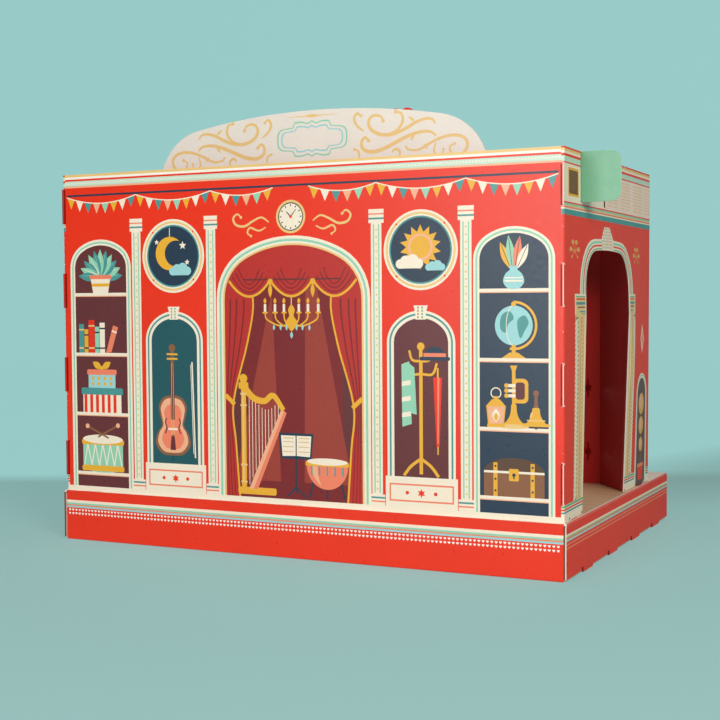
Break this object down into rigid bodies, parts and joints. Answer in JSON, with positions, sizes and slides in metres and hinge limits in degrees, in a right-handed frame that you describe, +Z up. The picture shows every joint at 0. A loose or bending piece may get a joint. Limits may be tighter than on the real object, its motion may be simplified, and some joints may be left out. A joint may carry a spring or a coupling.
{
  "type": "toy theatre",
  "caption": "Folded printed-board toy theatre on a tray base, with arched side walls, a proscenium front, a drop-in screen and a scenery card that lifts out of notches.",
  "frame": {"origin": "middle of the underside of the whole part, on the table", "axes": "+Z up, +Y towards the audience, so the backstage wall faces -Y; +X to the right seen from backstage"},
  "size_m": [0.477, 0.297, 0.3608],
  "materials": {
    "printed_board": "red printed board with a satin varnish",
    "bare_board": "bare board, matt",
    "stage_floor": "brown printed floor with a pale apron, satin",
    "screen_board": "deep red printed board, satin",
    "scenery_card": "printed card, cream header and mint ears, satin"
  },
  "bodies": {
    "theatre": {"tray_bottom": "bare_board", "tray_backstage_side": "printed_board", "tray_audience_side": "printed_board", "tray_left_side": "printed_board", "tray_right_side": "printed_board", "tray_left_liner": "bare_board", "tray_right_liner": "bare_board", "tray_corner_flaps": "bare_board", "stage_deck": "stage_floor", "backstage_wall": "printed_board", "left_wall": "printed_board", "right_wall": "printed_board", "facade": "printed_board", "facade_left_flap": "printed_board", "facade_right_flap": "printed_board"},
    "screen": {"screen_panel": "screen_board", "screen_left_wing": "screen_board", "screen_right_wing": "screen_board"},
    "backdrop": {"backdrop_card": "scenery_card"}
  },
  "joints": [
    {"name": "backdrop_lift", "type": "slide", "parent": "theatre", "child": "backdrop", "axis": [0, 0, 1], "range_m": [0, 0.26]},
    {"name": "screen_lift", "type": "slide", "parent": "theatre", "child": "screen", "axis": [0, 0, 1], "range_m": [0, 0.26]}
  ]
}
